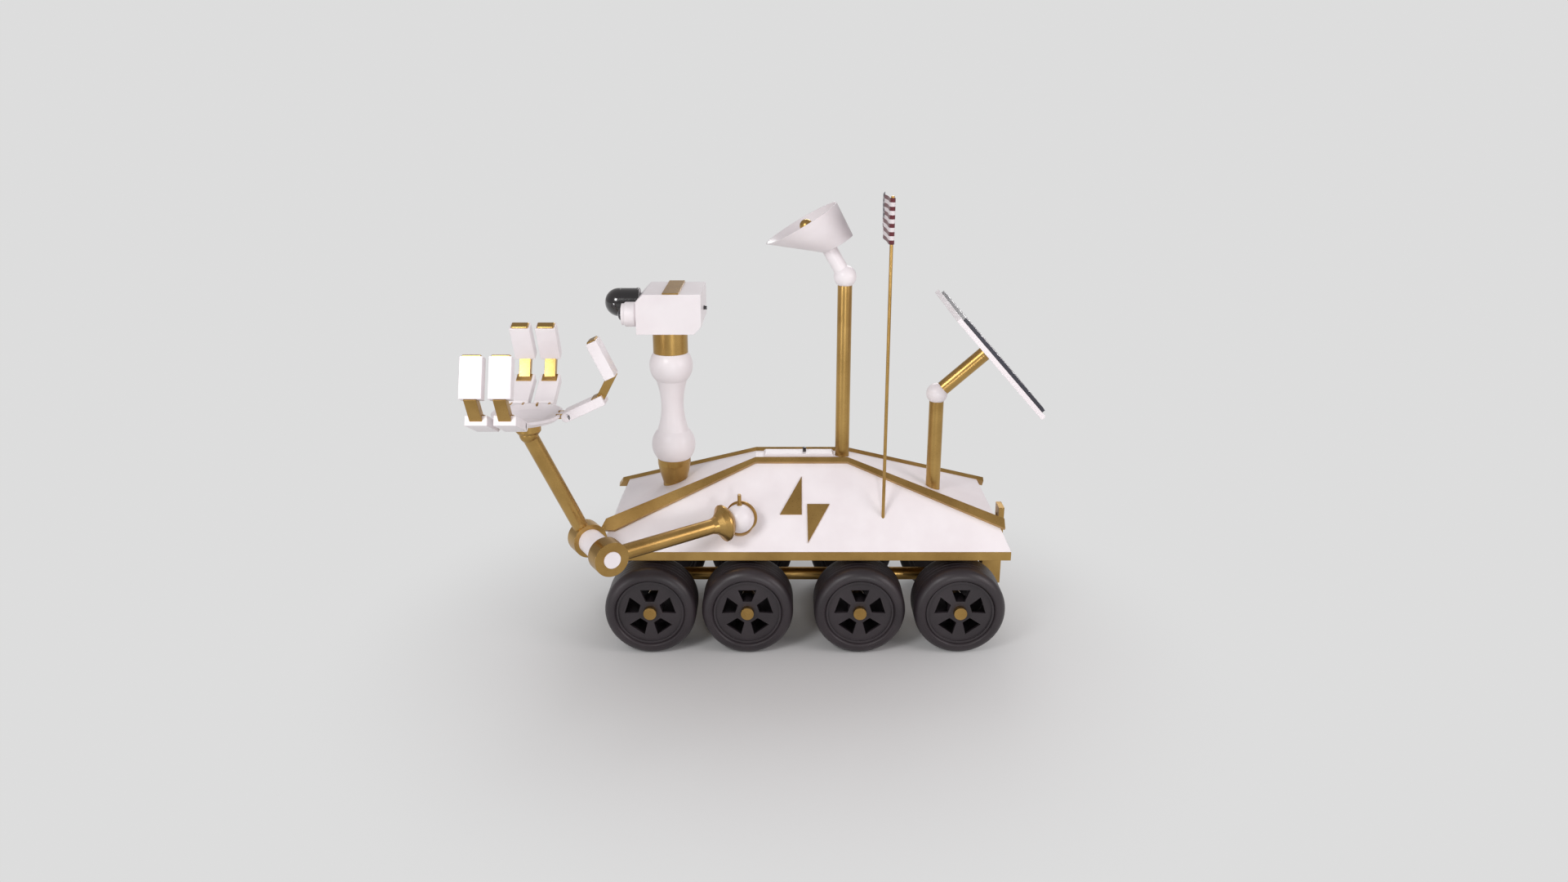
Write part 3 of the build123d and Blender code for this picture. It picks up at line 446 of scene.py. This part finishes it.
def flag_cloth_material():
    """Woven cloth with stripes across the hoist, and a dark canton with rows of small stars."""
    material, shader = new_material("flag_cloth")
    tree = material.node_tree

    def maths(operation, first, second=0.0):
        node = tree.nodes.new("ShaderNodeMath")
        node.operation = operation
        for slot_index, value in enumerate((first, second)):
            if isinstance(value, (int, float)):
                node.inputs[slot_index].default_value = value
            else:
                tree.links.new(value, node.inputs[slot_index])
        return node.outputs[0]

    def blend_colours(factor, first, second):
        node = tree.nodes.new("ShaderNodeMix")
        node.data_type = "RGBA"
        tree.links.new(factor, node.inputs["Factor"])
        for socket, value in ((node.inputs["A"], first), (node.inputs["B"], second)):
            if isinstance(value, tuple):
                socket.default_value = (*value, 1)
            else:
                tree.links.new(value, socket)
        return node.outputs["Result"]

    place = tree.nodes.new("ShaderNodeTexCoord")
    split = tree.nodes.new("ShaderNodeSeparateXYZ")
    tree.links.new(place.outputs["UV"], split.inputs["Vector"])
    along, up = split.outputs["X"], split.outputs["Y"]
    stripe = maths("GREATER_THAN", maths("FRACT", maths("MULTIPLY", up, STRIPES / 2)), 0.5)
    red = blend_colours(stripe, (0.125, 0.020, 0.028), (0.80, 0.74, 0.76))
    canton = maths("MULTIPLY", maths("GREATER_THAN", along, 1 - CANTON_FLY),
                   maths("GREATER_THAN", up, 1 - CANTON_STRIPES / STRIPES))
    star_x = maths("SUBTRACT", maths("FRACT", maths("MULTIPLY", along, 15)), 0.5)
    star_y = maths("SUBTRACT", maths("FRACT", maths("MULTIPLY", up, 9.3)), 0.5)
    reach = maths("ADD", maths("MULTIPLY", star_x, star_x), maths("MULTIPLY", star_y, star_y))
    star = maths("LESS_THAN", reach, 0.055)
    blue = blend_colours(star, (0.020, 0.022, 0.040), (0.70, 0.66, 0.68))
    colour = blend_colours(canton, red, blue)
    tree.links.new(colour, shader.inputs["Base Color"])
    weave = tree.nodes.new("ShaderNodeTexWave")
    weave.inputs["Scale"].default_value = 300
    mapping = tree.nodes.new("ShaderNodeTexCoord")
    tree.links.new(mapping.outputs["Object"], weave.inputs["Vector"])
    shader.inputs["Roughness"].default_value = 0.85
    shader.inputs["Sheen Weight"].default_value = 0.3
    surface(tree, shader, weave.outputs["Fac"], 0.15, 0.0002, 0.0002)
    return material


def flag_path():
    """The cloth's line seen from above: round the pole, then away from it in gentle waves."""
    line = []
    for step in range(21):
        turn = math.radians(140 - 290 * step / 20)
        line.append(Vector((pole.x + SLEEVE_R * math.cos(turn), pole.y + SLEEVE_R * math.sin(turn), 0)))
    last = line[-1]
    start = Vector((pole.x - SLEEVE_R - 0.001, pole.y + 0.010, 0))
    line.append((last + start) / 2 if (last - start).length > 0.01 else start)
    for step in range(1, 61):
        t = step / 60
        wave = 0.010 * t * math.sin(2.6 * math.pi * t)
        line.append(Vector((start.x + wave, start.y + t * (FLAG_FLY - 0.014), 0)))
    return line


flag_line = flag_path()
lengths = [0.0]
for before, after in zip(flag_line, flag_line[1:]):
    lengths.append(lengths[-1] + (after - before).length)
cloth = bmesh.new()
uv = cloth.loops.layers.uv.new("UVMap")
ROWS = 26
front = []
for index, point in enumerate(flag_line):
    ahead = flag_line[min(index + 1, len(flag_line) - 1)]
    behind = flag_line[max(index - 1, 0)]
    side_way = (ahead - behind).normalized().cross(UP)
    droop = 0.004 * (lengths[index] / lengths[-1]) ** 2
    column = []
    for row_index in range(ROWS + 1):
        height = row_index / ROWS
        ripple = 0.004 * (lengths[index] / lengths[-1]) * math.sin(5 * height + 9 * index / 80)
        spot = point + side_way * ripple
        column.append(cloth.verts.new((spot.x, spot.y, FLAG_LOW + height * FLAG_HOIST - droop)))
    front.append(column)
for index in range(len(front) - 1):
    for row_index in range(ROWS):
        corners = ((index, row_index), (index + 1, row_index), (index + 1, row_index + 1), (index, row_index + 1))
        face = cloth.faces.new([front[i][j] for i, j in corners])
        for loop, (i, j) in zip(face.loops, corners):
            loop[uv].uv = (lengths[i] / lengths[-1], j / ROWS)
data = bpy.data.meshes.new("flag_cloth_sheet")
cloth.to_mesh(data)
cloth.free()
flag = bpy.data.objects.new("flag_cloth_sheet", data)
bpy.context.scene.collection.objects.link(flag)
thick = flag.modifiers.new("cloth", "SOLIDIFY")
thick.thickness = 2 * CLOTH_HALF
thick.offset = 0
bpy.context.view_layer.objects.active = flag
with bpy.context.temp_override(object=flag, active_object=flag):
    bpy.ops.object.modifier_apply(modifier="cloth")
flag.data.shade_smooth()
flag.data.materials.append(flag_cloth_material())
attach(flag, "chassis")
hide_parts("flag")

# Stage: a pale floor that fades into the backdrop, and soft studio light
BACKDROP = (0.724, 0.724, 0.724)


def stage_floor():
    """A large pale disc; past the object's shadow it has the backdrop's own colour."""
    mesh = bmesh.new()
    bmesh.ops.create_circle(mesh, cap_ends=True, radius=60, segments=96)
    data_block = bpy.data.meshes.new("stage_floor")
    mesh.to_mesh(data_block)
    mesh.free()
    floor = bpy.data.objects.new("stage_floor", data_block)
    bpy.context.scene.collection.objects.link(floor)
    material = bpy.data.materials.new("stage_floor")
    material.use_nodes = True
    tree = material.node_tree
    tree.nodes.clear()
    output = tree.nodes.new("ShaderNodeOutputMaterial")
    lit = tree.nodes.new("ShaderNodeBsdfDiffuse")
    lit.inputs["Color"].default_value = (0.66, 0.66, 0.66, 1)
    plain = tree.nodes.new("ShaderNodeEmission")
    plain.inputs["Color"].default_value = (*BACKDROP, 1)
    rays = tree.nodes.new("ShaderNodeLightPath")
    place = tree.nodes.new("ShaderNodeTexCoord")
    far = tree.nodes.new("ShaderNodeVectorMath")
    far.operation = "LENGTH"
    fade = tree.nodes.new("ShaderNodeMapRange")
    fade.interpolation_type = "SMOOTHSTEP"
    fade.inputs["From Min"].default_value = 0.5
    fade.inputs["From Max"].default_value = 2.6
    tree.links.new(place.outputs["Object"], far.inputs[0])
    tree.links.new(far.outputs["Value"], fade.inputs["Value"])
    seen = tree.nodes.new("ShaderNodeMath")
    seen.operation = "MAXIMUM"
    tree.links.new(rays.outputs["Is Camera Ray"], seen.inputs[0])
    tree.links.new(rays.outputs["Is Glossy Ray"], seen.inputs[1])
    share = tree.nodes.new("ShaderNodeMath")
    share.operation = "MULTIPLY"
    tree.links.new(fade.outputs["Result"], share.inputs[0])
    tree.links.new(seen.outputs[0], share.inputs[1])
    mix = tree.nodes.new("ShaderNodeMixShader")
    tree.links.new(share.outputs[0], mix.inputs[0])
    tree.links.new(lit.outputs[0], mix.inputs[1])
    tree.links.new(plain.outputs[0], mix.inputs[2])
    tree.links.new(mix.outputs[0], output.inputs["Surface"])
    data_block.materials.append(material)


def stage_world(fill):
    """Even fill light, with the backdrop's colour for the camera and for rays that pass through glass."""
    world = bpy.data.worlds.new("studio")
    bpy.context.scene.world = world
    world.use_nodes = True
    tree = world.node_tree
    tree.nodes.clear()
    output = tree.nodes.new("ShaderNodeOutputWorld")
    light = tree.nodes.new("ShaderNodeBackground")
    light.inputs["Color"].default_value = (1.0, 0.965, 0.975, 1)
    light.inputs["Strength"].default_value = fill
    shown = tree.nodes.new("ShaderNodeBackground")
    shown.inputs["Color"].default_value = (*BACKDROP, 1)
    rays = tree.nodes.new("ShaderNodeLightPath")
    either = tree.nodes.new("ShaderNodeMath")
    either.operation = "MAXIMUM"
    tree.links.new(rays.outputs["Is Camera Ray"], either.inputs[0])
    tree.links.new(rays.outputs["Is Transmission Ray"], either.inputs[1])
    mix = tree.nodes.new("ShaderNodeMixShader")
    tree.links.new(either.outputs[0], mix.inputs[0])
    tree.links.new(light.outputs[0], mix.inputs[1])
    tree.links.new(shown.outputs[0], mix.inputs[2])
    tree.links.new(mix.outputs[0], output.inputs["Surface"])


def lamp(name, place, target, power, size, colour=(1, 1, 1)):
    """A square soft box that faces a target."""
    light = bpy.data.lights.new(name, "AREA")
    light.energy = power
    light.size = size
    light.color = colour
    holder = bpy.data.objects.new(name, light)
    holder.location = place
    holder.rotation_euler = (Vector(target) - Vector(place)).to_track_quat("-Z", "Y").to_euler()
    bpy.context.scene.collection.objects.link(holder)


stage_floor()
stage_world(0.42)
MIDDLE = (0, 0, 1.0)
lamp("key_light", (-3.2, -5.0, 5.2), MIDDLE, 165, 2.0)
lamp("side_light", (4.5, -2.5, 3.0), MIDDLE, 80, 2.5, (1.0, 0.93, 0.94))
lamp("front_light", (1.6, -6.6, 1.7), MIDDLE, 62, 0.9)
lamp("low_light", (-4.6, -4.6, 1.2), MIDDLE, 38, 1.0)
lamp("back_light", (1.0, 5.5, 4.5), MIDDLE, 120, 3.0)

# Camera: the photograph's own view
camera_data = bpy.data.cameras.new("camera")
camera_data.lens_unit = "FOV"
camera_data.sensor_fit = "VERTICAL"
camera_data.sensor_height = 24
camera_data.lens = 24 / (2 * math.tan(math.radians(45) / 2))
camera_data.clip_end = 200
camera = bpy.data.objects.new("camera", camera_data)
camera.location = at(-115.5, -5733, 2938)
camera.rotation_euler = (math.radians(90 - 18.05), 0, 0)
bpy.context.scene.collection.objects.link(camera)
bpy.context.scene.camera = camera
bpy.context.scene.view_settings.view_transform = "Standard"
